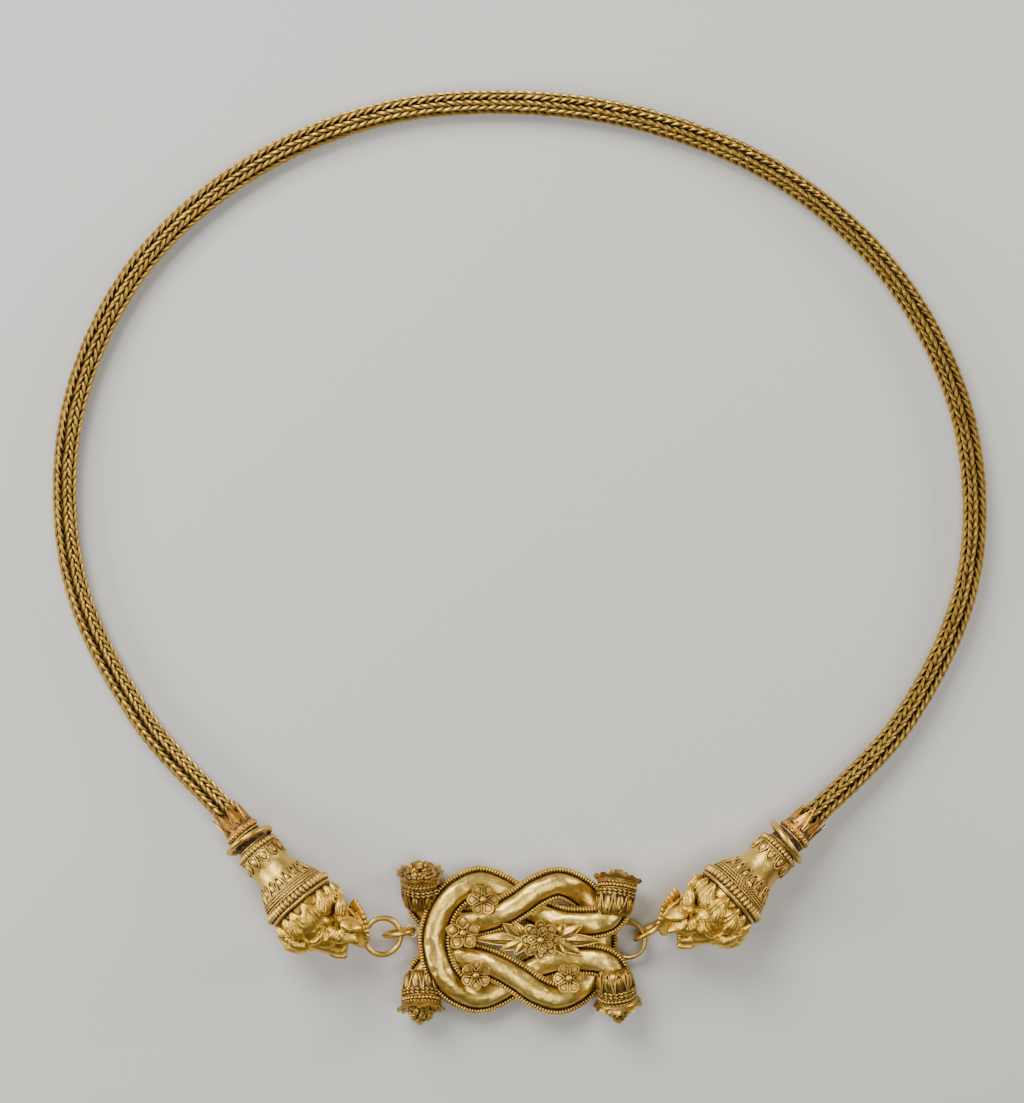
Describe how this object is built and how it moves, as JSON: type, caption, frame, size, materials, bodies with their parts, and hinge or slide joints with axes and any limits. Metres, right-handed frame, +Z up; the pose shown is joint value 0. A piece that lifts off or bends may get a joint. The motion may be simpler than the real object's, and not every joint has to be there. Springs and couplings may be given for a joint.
{
  "type": "thigh band",
  "caption": "Gold thigh band: a woven chain between two lion-head terminals, closed by a Herakles-knot clasp with rosettes, lying flat.",
  "frame": {"origin": "on the table surface, under the middle of the band's bounding box", "axes": "+Z up from the table the band lies on, +Y from the clasp across the ring to the middle of the chain, +X to the right seen from above"},
  "size_m": [0.1589, 0.1583, 0.0134],
  "materials": {
    "chain_gold": "woven wire, soft gloss",
    "sheet_gold": "polished, slightly dented",
    "wire_gold": "satin",
    "lion_gold": "chased, satin",
    "leaf_gold": "satin with reddish film"
  },
  "bodies": {
    "root": {"chain": "chain_gold", "leaf_cap_left": "leaf_gold", "leaf_cap_right": "leaf_gold", "sleeve_left": "sheet_gold", "sleeve_right": "sheet_gold", "neck_ring_left": "wire_gold", "neck_ring_right": "wire_gold", "lion_head_left": "lion_gold", "lion_head_right": "lion_gold", "lion_ring_left": "wire_gold", "lion_ring_right": "wire_gold", "knot_ring_left": "wire_gold", "knot_ring_right": "wire_gold", "knot_strap_left": "sheet_gold", "knot_strap_right": "sheet_gold", "edge_wire_left_a": "wire_gold", "edge_wire_left_b": "wire_gold", "edge_wire_right_a": "wire_gold", "edge_wire_right_b": "wire_gold", "finial_upper_left": "lion_gold", "finial_lower_left": "lion_gold", "finial_upper_right": "lion_gold", "finial_lower_right": "lion_gold", "rosette_upper_left": "leaf_gold", "rosette_star": "leaf_gold", "rosette_lower_left": "leaf_gold", "rosette_lower_right": "leaf_gold", "rosette_centre": "leaf_gold", "leaf_spray_left": "leaf_gold", "leaf_spray_right": "leaf_gold"}
  },
  "joints": []
}
